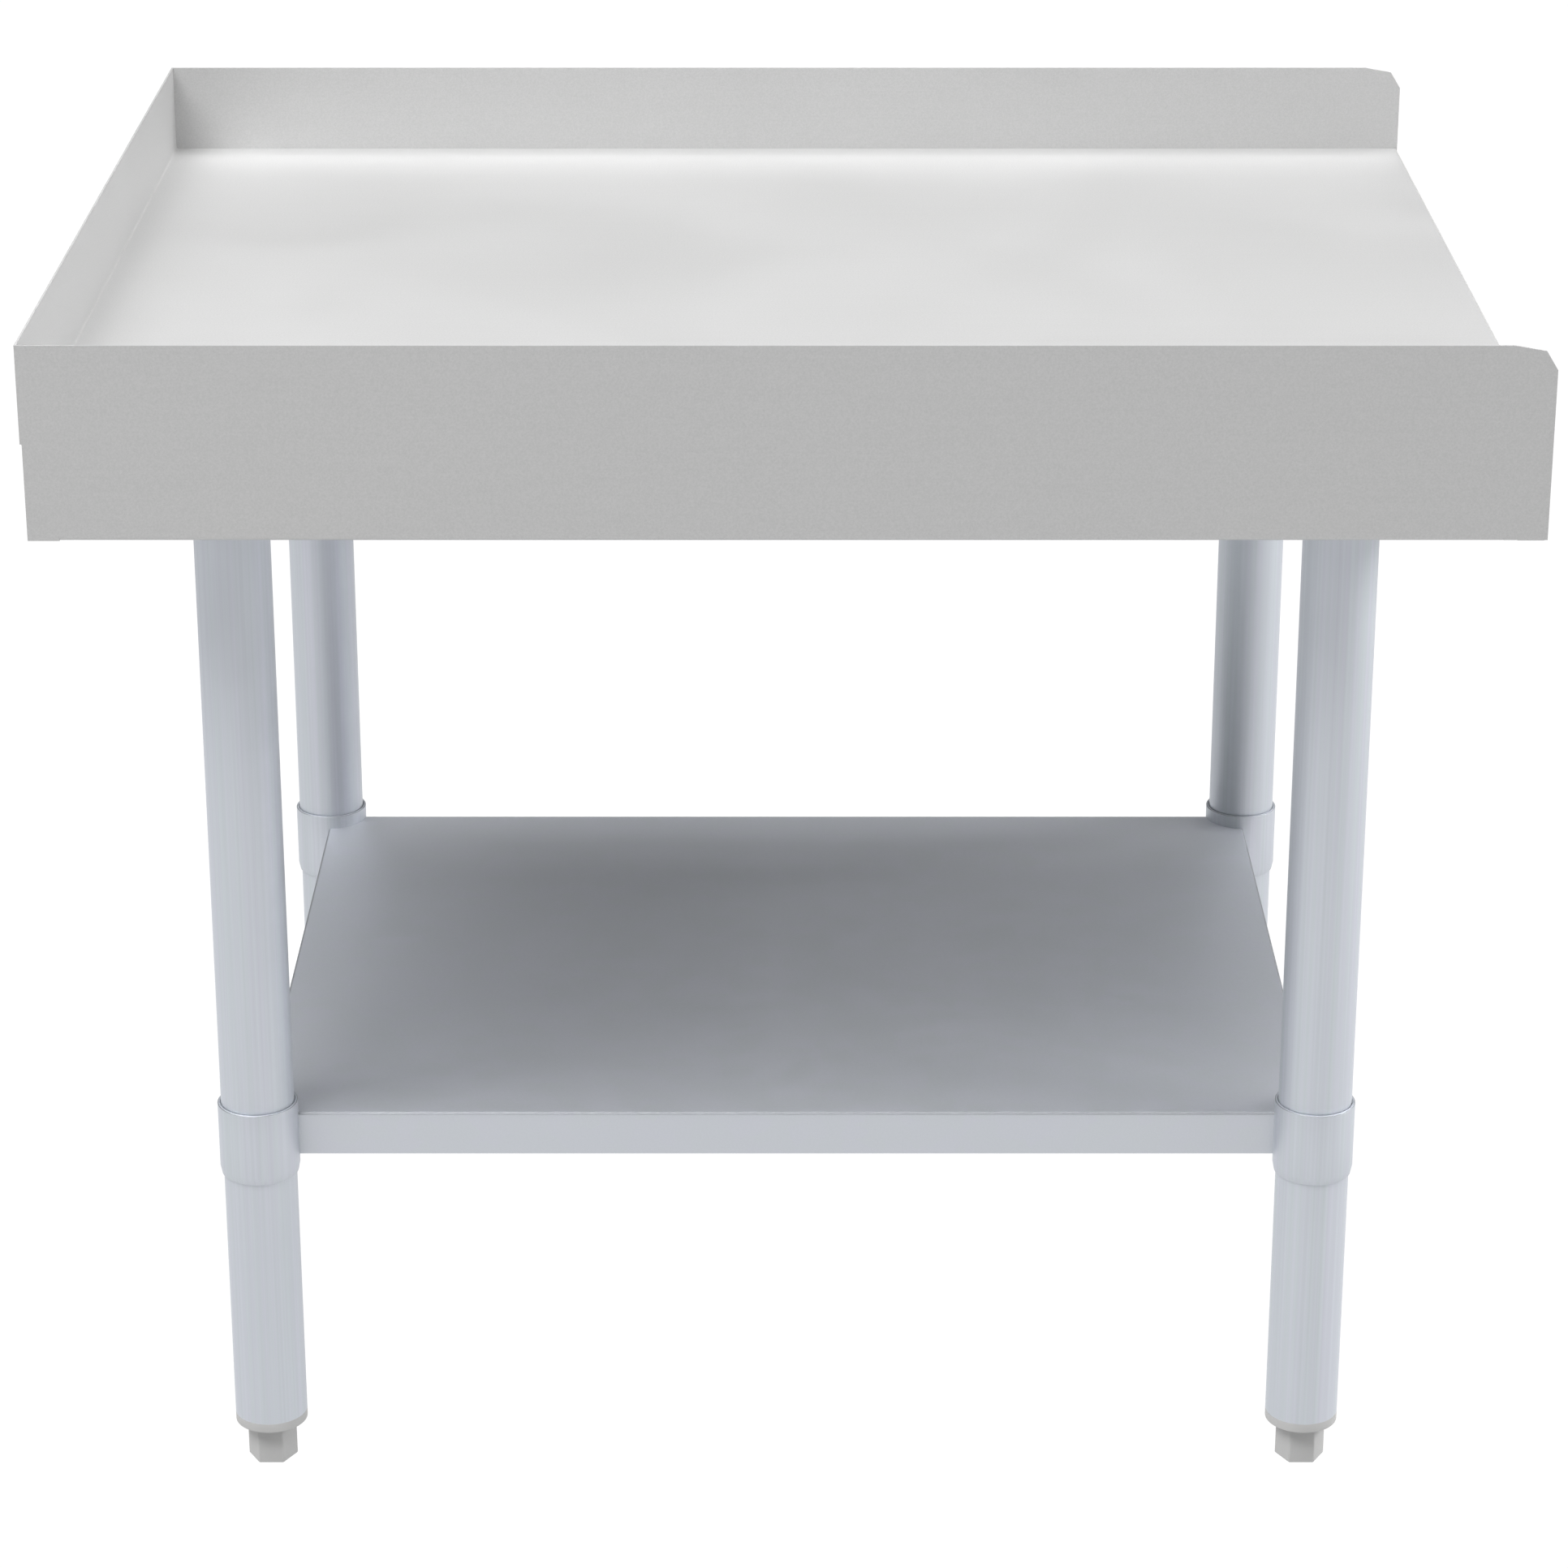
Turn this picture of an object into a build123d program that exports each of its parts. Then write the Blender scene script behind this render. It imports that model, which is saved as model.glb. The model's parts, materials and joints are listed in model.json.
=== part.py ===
"""Stainless-topped kitchen work table with a galvanised undershelf and legs.

Frame: X along the table, Y from front to back, Z up. The origin is on the floor,
under the middle of the table. All sizes are millimetres.
"""
import os
from math import cos, radians, sin

from build123d import *

os.makedirs("parts", exist_ok=True)

# ---------------------------------------------------------------- driving sizes
# Top
overall_length = 762.0      # X, over the left upturn and the right apron
overall_depth = 628.0       # Y, over the two side panels
deck_height = 622.7         # floor to the working surface
upturn_height = 50.8        # side panels and left upturn above the working surface
apron_drop = 50.4           # side panels and aprons below the working surface
sheet = 1.0                 # stainless sheet
bend_inside = 1.0           # inside radius of every fold in the stainless
apron_lip = 15.0            # return lip along the bottom of each apron and panel
# Corner cut at the open end of each side panel, from the top right corner
cut_length = 21.9           # how far back the top edge ends
cut_shoulder_in = 6.0       # the point between the two facets, from the end
cut_shoulder_down = 2.85    # and from the top
cut_depth = 12.6            # how far down the end begins
lip_relief = 22.0           # side panel's lip stops this far from the open end
relief_rise = 0.5           # the plain edge there is this much higher
# Legs
leg_inset_x = 91.5          # leg centre to each end of the table
leg_inset_y = 94.0          # leg centre to the front and the back
leg_od = 40.0
leg_wall = 1.2
# Hat channels under the deck
channel_sheet = 1.5
channel_width = 72.0        # outside the webs
channel_flange = 20.0
channel_depth = 25.0
channel_bend_inside = 1.5
channel_end_gap = 3.0       # to each side panel
stud_radius = 3.0           # M6 weld studs
stud_length = 9.0
stud_clearance = 0.4        # channel hole round a stud
stud_rows = 3               # pairs of studs along each channel
stud_end_inset = 90.0       # first pair from the channel's end
cap_nut_flats = 10.0
cap_nut_height = 5.0        # hexagonal part
cap_dome_radius = 4.6
# Leg sockets
socket_plate = 68.0         # square plate welded to the channel
socket_plate_thickness = 3.0
socket_plate_corner = 8.0
socket_wall = 3.2
socket_length = 37.0        # cup below the plate
socket_clearance = 0.15     # leg in socket, radial
socket_root_fillet = 4.0
# Undershelf
shelf_height = 211.8        # floor to the shelf's upper face
shelf_skirt = 24.8
shelf_sheet = 1.0
shelf_bend_inside = 0.8
shelf_lip = 12.0
stiffener_width = 60.0
stiffener_flange = 14.0
stiffener_depth = 18.0
stiffener_end_gap = 4.0     # to the pan's end lips
# Shelf sleeves
sleeve_clearance = 0.4      # leg in sleeve, radial, so that the shelf can slide
sleeve_wall = 1.5
sleeve_above = 7.9          # above the shelf's upper face
sleeve_below = 34.0         # below the shelf's upper face
sleeve_taper = 4.5          # height of the drawn-in lower end
sleeve_end_gap = 0.3        # drawn-in end to leg, radial
sleeve_end_wall = 0.7
sleeve_rim_round = 0.6
# Set screws (M8) in the sockets and the sleeves
screw_radius = 4.0
screw_length = 10.0
screw_clearance = 0.05
screw_hex_flats = 4.0
screw_hex_depth = 4.0
screw_tip_chamfer = 0.8
socket_screw_up = 14.0      # screw above the socket's mouth
sleeve_screw_down = 14.6    # screw below the shelf's upper face
weld_nut_radius = 6.5
weld_nut_length = 5.0
# Feet
foot_height = 23.1          # hexagonal foot
foot_flats = 24.0
foot_chamfer = 0.5
foot_gap = 0.3              # foot to insert when screwed right in
insert_flange = 5.4
insert_plug = 30.0          # plug inside the leg
insert_clearance = 0.05     # plug in leg, radial
insert_lead = 1.5           # chamfer on the plug's upper end
foot_stud_radius = 5.0      # M10
foot_stud_up = 47.0         # stud above the foot
foot_stud_down = 16.0       # stud inside the foot
foot_stud_chamfer = 0.8
thread_clearance = 0.05     # stud in nut, and stud in foot, radial
insert_bore_clearance = 0.3  # stud in the insert's plain bore, radial
foot_nut_flats = 17.0
foot_nut_height = 8.0
foot_nut_clearance = 0.05   # nut in its pocket, each flat
foot_bore_bottom_gap = 0.2  # under the stud's lower end

# ------------------------------------------------------------- derived places
left_end = -overall_length / 2
right_end = overall_length / 2
panel_left = left_end + sheet               # the upturn wraps the panels' left ends
front_face = -overall_depth / 2
inner_half_depth = overall_depth / 2 - sheet
leg_spacing_x = overall_length - 2 * leg_inset_x
leg_spacing_y = overall_depth - 2 * leg_inset_y
top_edge = deck_height + upturn_height
apron_bottom = deck_height - apron_drop
bend_outside = bend_inside + sheet
channel_top = deck_height - sheet
channel_bottom = channel_top - channel_depth
socket_top = channel_bottom
cup_top = socket_top - socket_plate_thickness
cup_bottom = cup_top - socket_length
leg_radius = leg_od / 2
insert_bottom = foot_height + foot_gap
leg_bottom = insert_bottom + insert_flange
sleeve_inner = leg_radius + sleeve_clearance
sleeve_outer = sleeve_inner + sleeve_wall
socket_inner = leg_radius + socket_clearance
socket_outer = socket_inner + socket_wall
corners = {
    "front_left": (-1, -1),
    "front_right": (1, -1),
    "back_left": (-1, 1),
    "back_right": (1, 1),
}


def save(piece, name):
    """Label a finished piece and write it under its node name."""
    piece.part.label = name
    export_step(piece.part, f"parts/{name}.step")


def leg_axis(corner):
    """Point on the floor under a leg."""
    side, end = corners[corner]
    return side * leg_spacing_x / 2, end * leg_spacing_y / 2


def inward(corner):
    """Horizontal direction from a leg towards the inside of the table."""
    side, end = corners[corner]
    return Vector(-side * cos(radians(45)), -end * sin(radians(45)), 0)


def screw_plane(corner, height, radius=0.0):
    """Plane across a set screw's axis, at a distance from the leg's centre line."""
    x, y = leg_axis(corner)
    direction = inward(corner)
    return Plane(origin=Vector(x, y, height) + direction * radius, x_dir=(0, 0, 1), z_dir=direction)


# ------------------------------------------------------------------- deck sheet
# One folded sheet: upturn at the left, flat deck, apron and lip at the right.
deck_middle = deck_height - sheet / 2
deck_fold = bend_inside + sheet / 2
deck_path = [
    (left_end + sheet / 2, top_edge),
    (left_end + sheet / 2, deck_middle),
    (right_end - sheet / 2, deck_middle),
    (right_end - sheet / 2, apron_bottom + sheet / 2),
    (right_end - apron_lip, apron_bottom + sheet / 2),
]
with BuildPart() as deck_sheet:
    with BuildSketch(Plane.XZ):
        with BuildLine():
            FilletPolyline(*deck_path, radius=deck_fold)
        trace(line_width=sheet)
    extrude(amount=inner_half_depth, both=True)
    # The upturn runs on past the deck and covers the ends of the side panels.
    with BuildSketch(Plane.XZ):
        with Locations((left_end, deck_height)):
            Rectangle(sheet, upturn_height, align=(Align.MIN, Align.MIN))
    extrude(amount=overall_depth / 2, both=True)
save(deck_sheet, "deck_sheet")

# ------------------------------------------------------------------ side panels
lip_start = panel_left + apron_lip + sheet
lip_end = right_end - lip_relief
lip_path = [
    (front_face + sheet / 2, apron_bottom + bend_outside + sheet),
    (front_face + sheet / 2, apron_bottom + sheet / 2),
    (front_face + apron_lip, apron_bottom + sheet / 2),
]
panel_outline = [
    (panel_left, apron_bottom),
    (lip_start, apron_bottom),
    (lip_start, apron_bottom + bend_outside),
    (lip_end, apron_bottom + bend_outside),
    (lip_end, apron_bottom + relief_rise),
    (right_end, apron_bottom + relief_rise),
    (right_end, top_edge - cut_depth),
    (right_end - cut_shoulder_in, top_edge - cut_shoulder_down),
    (right_end - cut_length, top_edge),
    (panel_left, top_edge),
]
with BuildPart() as front_side_panel:
    with BuildSketch(Plane.XZ.offset(-front_face)):
        with BuildLine():
            Polyline(*panel_outline, close=True)
        make_face()
    extrude(amount=-sheet)
    with BuildSketch(Plane.YZ.offset(lip_start)):
        with BuildLine():
            FilletPolyline(*lip_path, radius=deck_fold)
        trace(line_width=sheet)
    extrude(amount=lip_end - lip_start)
save(front_side_panel, "front_side_panel")

with BuildPart() as back_side_panel:
    mirror(front_side_panel.part, about=Plane.XZ)
save(back_side_panel, "back_side_panel")

# ------------------------------------------------------------------- left apron
apron_path = [
    (panel_left + apron_lip, channel_top - sheet / 2),
    (panel_left + sheet / 2, channel_top - sheet / 2),
    (panel_left + sheet / 2, apron_bottom + sheet / 2),
    (panel_left + apron_lip, apron_bottom + sheet / 2),
]
with BuildPart() as left_apron:
    with BuildSketch(Plane.XZ):
        with BuildLine():
            FilletPolyline(*apron_path, radius=deck_fold)
        trace(line_width=sheet)
    extrude(amount=inner_half_depth, both=True)
save(left_apron, "left_apron")

# ----------------------------------------------------- hat channels and fixings
channel_half_length = inner_half_depth - channel_end_gap
stud_offset = channel_width / 2 + channel_flange / 2
stud_pitch_y = (channel_half_length - stud_end_inset) * 2 / (stud_rows - 1)


def hat_path(width, flange, wall, top, depth):
    """Middle line of a hat section that hangs from a flat face at the given height."""
    high = top - wall / 2
    low = top - depth + wall / 2
    web = width / 2 - wall / 2
    brim = width / 2 + flange
    return [(-brim, high), (-web, high), (-web, low), (web, low), (web, high), (brim, high)]


def stud_places(x):
    """Centres of the weld studs of one channel."""
    rows = [(row - (stud_rows - 1) / 2) * stud_pitch_y for row in range(stud_rows)]
    return [(x + offset, y) for offset in (-stud_offset, stud_offset) for y in rows]


def hat_channel(x):
    """Channel that runs from front to back over two legs."""
    channel_path = hat_path(channel_width, channel_flange, channel_sheet, channel_top, channel_depth)
    with BuildPart() as channel:
        with BuildSketch(Plane.XZ):
            with BuildLine():
                FilletPolyline(
                    *[(x + across, up) for across, up in channel_path],
                    radius=channel_bend_inside + channel_sheet / 2,
                )
            trace(line_width=channel_sheet)
        extrude(amount=channel_half_length, both=True)
        with Locations(*[(*place, channel_top) for place in stud_places(x)]):
            Hole(radius=stud_radius + stud_clearance, depth=2 * channel_sheet)
    return channel


channel_x = {"left": -leg_spacing_x / 2, "right": leg_spacing_x / 2}
for side_name, x_middle in channel_x.items():
    save(hat_channel(x_middle), f"hat_channel_{side_name}")

all_studs = [place for x_middle in channel_x.values() for place in stud_places(x_middle)]
with BuildPart() as channel_studs:
    with BuildSketch(Plane.XY.offset(channel_top)):
        with Locations(*all_studs):
            Circle(stud_radius)
    extrude(amount=-stud_length)
save(channel_studs, "channel_studs")

# Cap nuts, each a hexagon with a dome over the stud's end.
nut_top = channel_top - channel_sheet
nut_bottom = nut_top - cap_nut_height
with BuildPart() as channel_nuts:
    with BuildSketch(Plane.XY.offset(nut_top)):
        with Locations(*all_studs):
            RegularPolygon(cap_nut_flats / 2, 6, major_radius=False)
    extrude(amount=-cap_nut_height)
    with Locations(*[(*place, nut_bottom) for place in all_studs]):
        Sphere(cap_dome_radius)
    with BuildSketch(Plane.XY.offset(nut_top)):
        with Locations(*all_studs):
            Circle(stud_radius)
    extrude(amount=-(stud_length - channel_sheet), mode=Mode.SUBTRACT)
save(channel_nuts, "channel_nuts")


# ------------------------------------------------------------------- set screws
def set_screw(corner, height, tip_radius):
    """Headless screw with a hexagon socket, its tip towards the leg."""
    with BuildPart() as screw:
        with BuildSketch(screw_plane(corner, height, tip_radius)):
            Circle(screw_radius)
        extrude(amount=screw_length)
        tip = screw.edges().filter_by(GeomType.CIRCLE).sort_by(Axis((*leg_axis(corner), height), inward(corner)))
        chamfer(tip[0], screw_tip_chamfer)
        with BuildSketch(screw_plane(corner, height, tip_radius + screw_length)):
            RegularPolygon(screw_hex_flats / 2, 6, major_radius=False)
        extrude(amount=-screw_hex_depth, mode=Mode.SUBTRACT)
    return screw


# ------------------------------------------------------------------ leg sockets
socket_screw_height = cup_bottom + socket_screw_up


def leg_socket(corner):
    """Plate with a round cup that takes the top of a leg, and a threaded hole for its screw."""
    x, y = leg_axis(corner)
    with BuildPart() as socket:
        with BuildSketch(Plane.XY.offset(socket_top)):
            with Locations((x, y)):
                RectangleRounded(socket_plate, socket_plate, socket_plate_corner)
        extrude(amount=-socket_plate_thickness)
        with BuildSketch(Plane.XY.offset(cup_top)):
            with Locations((x, y)):
                Circle(socket_outer)
        extrude(amount=-socket_length)
        root = socket.edges().filter_by(GeomType.CIRCLE).filter_by_position(Axis.Z, cup_top, cup_top)
        fillet(root.filter_by(lambda edge: abs(edge.radius - socket_outer) < sheet / 10), socket_root_fillet)
        with BuildSketch(Plane.XY.offset(cup_top)):
            with Locations((x, y)):
                Circle(socket_inner)
        extrude(amount=-socket_length, mode=Mode.SUBTRACT)
        with BuildSketch(screw_plane(corner, socket_screw_height)):
            Circle(screw_radius + screw_clearance)
        extrude(amount=socket_outer + screw_length, mode=Mode.SUBTRACT)
    return socket


for corner_name in corners:
    save(leg_socket(corner_name), f"leg_socket_{corner_name}")
    save(set_screw(corner_name, socket_screw_height, leg_radius), f"socket_screw_{corner_name}")


# ------------------------------------------------------------------------- legs
def leg_tube(corner):
    """Round tube from the foot insert to the socket's plate."""
    with BuildPart() as leg:
        with BuildSketch(Plane.XY.offset(leg_bottom)):
            with Locations(leg_axis(corner)):
                Circle(leg_radius)
                Circle(leg_radius - leg_wall, mode=Mode.SUBTRACT)
        extrude(amount=cup_top - leg_bottom)
    return leg


for corner_name in corners:
    save(leg_tube(corner_name), f"leg_{corner_name}")

# ------------------------------------------------------------------- undershelf
shelf_bottom = shelf_height - shelf_skirt
sleeve_top = shelf_height + sleeve_above
sleeve_bottom = shelf_height - sleeve_below

with BuildPart() as shelf_pan:
    with BuildSketch(Plane.XY.offset(shelf_bottom)):
        Rectangle(leg_spacing_x, leg_spacing_y)
    extrude(amount=shelf_skirt)
    fillet(shelf_pan.faces().sort_by(Axis.Z)[-1].edges(), shelf_bend_inside + shelf_sheet)
    pan_mouth = shelf_pan.faces().sort_by(Axis.Z)[0]
    offset(amount=-shelf_sheet, openings=pan_mouth)
    with BuildSketch(Plane.XY.offset(shelf_bottom)):
        Rectangle(leg_spacing_x, leg_spacing_y)
        Rectangle(leg_spacing_x - 2 * shelf_lip, leg_spacing_y - 2 * shelf_lip, mode=Mode.SUBTRACT)
    extrude(amount=shelf_sheet)
    # Each corner is cut back round its sleeve.
    with BuildSketch(Plane.XY.offset(shelf_bottom)):
        with Locations(*[leg_axis(corner_name) for corner_name in corners]):
            Circle(sleeve_outer)
    extrude(amount=shelf_skirt, mode=Mode.SUBTRACT)
save(shelf_pan, "shelf_pan")

stiffener_top = shelf_height - shelf_sheet
stiffener_half_length = leg_spacing_x / 2 - shelf_lip - stiffener_end_gap
with BuildPart() as shelf_stiffener:
    with BuildSketch(Plane.YZ):
        with BuildLine():
            FilletPolyline(
                *hat_path(stiffener_width, stiffener_flange, shelf_sheet, stiffener_top, stiffener_depth),
                radius=shelf_bend_inside + shelf_sheet / 2,
            )
        trace(line_width=shelf_sheet)
    extrude(amount=stiffener_half_length, both=True)
save(shelf_stiffener, "shelf_stiffener")

# ---------------------------------------------------------------- shelf sleeves
sleeve_screw_height = shelf_height - sleeve_screw_down
end_inner = leg_radius + sleeve_end_gap


def shelf_sleeve(corner):
    """Thin collar round a leg, with a rounded rim and a drawn-in lower end."""
    x, y = leg_axis(corner)
    section = [
        (end_inner, sleeve_bottom),
        (end_inner + sleeve_end_wall, sleeve_bottom),
        (sleeve_outer, sleeve_bottom + sleeve_taper),
        (sleeve_outer, sleeve_top),
        (sleeve_inner, sleeve_top),
        (sleeve_inner, sleeve_bottom + sleeve_taper),
    ]
    with BuildPart() as sleeve:
        with BuildSketch(Plane(origin=(x, y, 0), x_dir=(1, 0, 0), z_dir=(0, -1, 0))) as profile:
            with BuildLine():
                Polyline(*section, close=True)
            make_face()
            fillet(profile.vertices().group_by(Axis.Y)[-1], sleeve_rim_round)
        revolve(axis=Axis((x, y, 0), (0, 0, 1)))
        with BuildSketch(screw_plane(corner, sleeve_screw_height)):
            Circle(screw_radius + screw_clearance)
        extrude(amount=sleeve_outer + screw_length, mode=Mode.SUBTRACT)
    return sleeve


def weld_nut(corner):
    """Round nut welded to the sleeve, inside the pan, for the clamping screw."""
    x, y = leg_axis(corner)
    with BuildPart() as nut:
        with BuildSketch(screw_plane(corner, sleeve_screw_height)):
            Circle(weld_nut_radius)
        extrude(amount=sleeve_outer + weld_nut_length)
        with BuildSketch(Plane.XY.offset(sleeve_bottom)):
            with Locations((x, y)):
                Circle(sleeve_outer)
        extrude(amount=sleeve_top - sleeve_bottom, mode=Mode.SUBTRACT)
        with BuildSketch(screw_plane(corner, sleeve_screw_height)):
            Circle(screw_radius + screw_clearance)
        extrude(amount=sleeve_outer + 2 * weld_nut_length, mode=Mode.SUBTRACT)
    return nut


for corner_name in corners:
    save(shelf_sleeve(corner_name), f"shelf_sleeve_{corner_name}")
    save(weld_nut(corner_name), f"sleeve_nut_{corner_name}")
    save(set_screw(corner_name, sleeve_screw_height, sleeve_inner), f"sleeve_screw_{corner_name}")

# ------------------------------------------------------------------------- feet
plug_top = leg_bottom + insert_plug
plug_radius = leg_radius - leg_wall - insert_clearance


def foot_insert(corner):
    """Plug pressed into the end of a leg, with a flange and a pocket for its nut."""
    place = leg_axis(corner)
    with BuildPart() as insert:
        with BuildSketch(Plane.XY.offset(insert_bottom)):
            with Locations(place):
                Circle(leg_radius)
        extrude(amount=insert_flange)
        with BuildSketch(Plane.XY.offset(leg_bottom)):
            with Locations(place):
                Circle(plug_radius)
        extrude(amount=insert_plug)
        chamfer(insert.edges().filter_by(GeomType.CIRCLE).sort_by(Axis.Z)[-1], insert_lead)
        with BuildSketch(Plane.XY.offset(insert_bottom)):
            with Locations(place):
                Circle(foot_stud_radius + insert_bore_clearance)
        extrude(amount=insert_flange + insert_plug, mode=Mode.SUBTRACT)
        with BuildSketch(Plane.XY.offset(plug_top)):
            with Locations(place):
                RegularPolygon(foot_nut_flats / 2 + foot_nut_clearance, 6, major_radius=False)
        extrude(amount=-foot_nut_height, mode=Mode.SUBTRACT)
    return insert


def foot_nut(corner):
    """Nut held in the top of the insert."""
    with BuildPart() as nut:
        with BuildSketch(Plane.XY.offset(plug_top)):
            with Locations(leg_axis(corner)):
                RegularPolygon(foot_nut_flats / 2, 6, major_radius=False)
                Circle(foot_stud_radius + thread_clearance, mode=Mode.SUBTRACT)
        extrude(amount=-foot_nut_height)
    return nut


def foot_stud(corner):
    """Threaded stud between the foot and the nut, drawn at its outer diameter."""
    with BuildPart() as stud:
        with BuildSketch(Plane.XY.offset(foot_height - foot_stud_down)):
            with Locations(leg_axis(corner)):
                Circle(foot_stud_radius)
        extrude(amount=foot_stud_down + foot_stud_up)
        chamfer(stud.edges().filter_by(GeomType.CIRCLE), foot_stud_chamfer)
    return stud


def hex_foot(corner):
    """Hexagonal foot with a blind bore for the stud."""
    with BuildPart() as foot:
        with BuildSketch():
            with Locations(leg_axis(corner)):
                RegularPolygon(foot_flats / 2, 6, major_radius=False)
        extrude(amount=foot_height)
        chamfer(foot.faces().sort_by(Axis.Z)[0].edges(), foot_chamfer)
        with BuildSketch(Plane.XY.offset(foot_height)):
            with Locations(leg_axis(corner)):
                Circle(foot_stud_radius + thread_clearance)
        extrude(amount=-(foot_stud_down + foot_bore_bottom_gap), mode=Mode.SUBTRACT)
    return foot


for corner_name in corners:
    save(foot_insert(corner_name), f"foot_insert_{corner_name}")
    save(foot_nut(corner_name), f"foot_nut_{corner_name}")
    save(foot_stud(corner_name), f"foot_stud_{corner_name}")
    save(hex_foot(corner_name), f"hex_foot_{corner_name}")
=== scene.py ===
# %% [markdown]
# # A kitchen work table with a galvanised undershelf
#
# The real table is a folded stainless top on four galvanised tubes, with a
# galvanised pan as a shelf and a grey moulded foot under each tube. The sheet
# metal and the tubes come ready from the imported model, at their real size, so
# this lesson gives them their finishes. The parts whose looks are in their small
# rounds and ridges, which are the feet, the threaded studs, the foot inserts and
# the shelf sleeves, are modelled here with the ordinary mesh tools.

# %% Load the table
import json
import math

import bpy
from mathutils import Matrix, Vector


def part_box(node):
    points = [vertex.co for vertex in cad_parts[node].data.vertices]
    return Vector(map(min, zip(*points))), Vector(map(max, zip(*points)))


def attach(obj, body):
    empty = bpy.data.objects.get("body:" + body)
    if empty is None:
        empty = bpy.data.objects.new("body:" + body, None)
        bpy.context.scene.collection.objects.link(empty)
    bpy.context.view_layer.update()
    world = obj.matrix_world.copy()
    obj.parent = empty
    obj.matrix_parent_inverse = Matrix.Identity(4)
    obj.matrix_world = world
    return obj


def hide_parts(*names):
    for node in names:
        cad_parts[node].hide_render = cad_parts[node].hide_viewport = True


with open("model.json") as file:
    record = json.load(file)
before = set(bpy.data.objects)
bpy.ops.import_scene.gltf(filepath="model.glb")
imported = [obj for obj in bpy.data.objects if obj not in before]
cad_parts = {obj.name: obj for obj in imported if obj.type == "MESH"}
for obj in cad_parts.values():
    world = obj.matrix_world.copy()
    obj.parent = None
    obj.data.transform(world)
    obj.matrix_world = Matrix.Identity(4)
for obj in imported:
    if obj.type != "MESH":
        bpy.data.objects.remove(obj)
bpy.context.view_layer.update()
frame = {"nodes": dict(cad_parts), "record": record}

# %% [markdown]
# Everything is in metres. A thousandth of that is the unit that a metal worker
# thinks in, so small sizes below are written as a number times mm. The legs give
# the places of all that repeats: one of each part is modelled at the first
# corner, and the copies go where the other legs stand.

# %% Corners and leg places
mm = 0.001
corners = ("front_left", "front_right", "back_left", "back_right")


def middle(node):
    """The centre of a node's box."""
    low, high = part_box(node)
    return (low + high) / 2


leg_places = {corner: middle("leg_" + corner).xy.to_3d() for corner in corners}
first = corners[0]
here = leg_places[first]
print({corner: [round(x, 4) for x in place.xy] for corner, place in leg_places.items()})

# %% [markdown]
# Turned and moulded rings all start the same way. A plane is added and merged
# into one vertex, that vertex is extruded from point to point of half the
# section, and the outline is spun round the leg's middle. It is what a lathe
# does, and it needs only the few points of the section. The seam where the spin
# closes is merged before the normals are turned outwards.

# %% Helpers for modelling
merge_distance = 0.005 * mm


def select_only(piece):
    """Make one piece the only selected one, and the active one."""
    bpy.ops.object.select_all(action="DESELECT")
    piece.select_set(True)
    bpy.context.view_layer.objects.active = piece


def edit(piece):
    """Open one piece in edit mode with nothing selected in it."""
    select_only(piece)
    bpy.ops.object.mode_set(mode="EDIT")
    bpy.ops.mesh.select_all(action="DESELECT")


def close_edit():
    """Merge doubles, turn the normals outwards and leave edit mode."""
    bpy.ops.mesh.select_all(action="SELECT")
    bpy.ops.mesh.remove_doubles(threshold=merge_distance)
    bpy.ops.mesh.normals_make_consistent(inside=False)
    bpy.ops.object.mode_set(mode="OBJECT")


def place_in_mesh(piece):
    """Move a primitive's place, turn and scale from the object into its mesh."""
    select_only(piece)
    bpy.ops.object.transform_apply(location=True, rotation=True, scale=True)
    return piece


def apply_modifier(piece, kind, **settings):
    """Add a modifier, set it and apply it."""
    select_only(piece)
    modifier = piece.modifiers.new(kind.lower(), kind)
    for name, value in settings.items():
        setattr(modifier, name, value)
    bpy.ops.object.modifier_apply(modifier=modifier.name)


def shade(piece, degrees=35):
    """Smooth shading with every fold sharper than this kept crisp."""
    select_only(piece)
    bpy.ops.object.shade_smooth_by_angle(angle=math.radians(degrees))


def outline(name, points):
    """An open outline of (radius, height) points, standing beside the first leg's middle line."""
    start = here + Vector((points[0][0], 0, points[0][1]))
    bpy.ops.mesh.primitive_plane_add(size=mm, location=start)
    piece = bpy.context.object
    piece.name = name
    place_in_mesh(piece)
    edit(piece)
    bpy.ops.mesh.select_all(action="SELECT")
    bpy.ops.mesh.merge(type="CENTER")
    for (radius, height), (next_radius, next_height) in zip(points, points[1:]):
        step = (next_radius - radius, 0, next_height - height)
        bpy.ops.mesh.extrude_region_move(TRANSFORM_OT_translate={"value": step})
    return piece


def turned(name, section, steps):
    """Spin a closed section of (radius, height) points round the first leg."""
    piece = outline(name, section + section[:1])
    bpy.ops.mesh.select_all(action="SELECT")
    bpy.ops.mesh.spin(steps=steps, angle=math.tau, center=here, axis=(0, 0, 1))
    close_edit()
    return piece


def cut_out(piece, cutter):
    """Take one closed shape away from a piece and delete the cutter."""
    place_in_mesh(cutter)
    apply_modifier(piece, "BOOLEAN", operation="DIFFERENCE", object=cutter, solver="EXACT")
    bpy.data.objects.remove(cutter)


def across_corners(flats):
    """The radius of a hexagon through its corners, from its width across flats."""
    return flats / 2 / math.cos(math.radians(30))


def count(piece):
    """Print how many faces a piece has and how large it is."""
    size = [round(x / mm, 2) for x in piece.dimensions]
    print(piece.name, len(piece.data.polygons), "faces,", size, "mm")


# %% [markdown]
# A copy needs its own mesh, because each one's place is held in its mesh. The
# place of the leg is added to every vertex, and the object itself stays at the
# origin, so a pattern in the material stays where it is when the table is
# exported.

# %% One piece at every corner


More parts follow.
